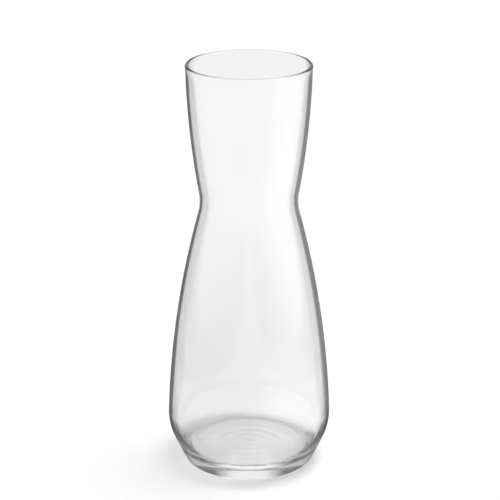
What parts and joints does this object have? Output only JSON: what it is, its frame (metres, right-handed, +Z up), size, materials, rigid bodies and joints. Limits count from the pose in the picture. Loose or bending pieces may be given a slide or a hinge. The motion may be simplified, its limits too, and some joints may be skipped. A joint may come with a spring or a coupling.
{
  "type": "water carafe",
  "caption": "Open clear glass carafe: a bowed neck flares up from a narrow waist, and a long body swells to a low belly over a tapered, thick base.",
  "frame": {"origin": "centre of the foot, on the surface that the carafe stands on", "axes": "+Z up along the axis of revolution; +X and +Y are alike, and the picture looks along +Y"},
  "size_m": [0.1, 0.1, 0.25],
  "materials": {
    "clear_glass": "clear, smooth and fire-polished"
  },
  "bodies": {
    "root": {"glass_vessel": "clear_glass"}
  },
  "joints": []
}
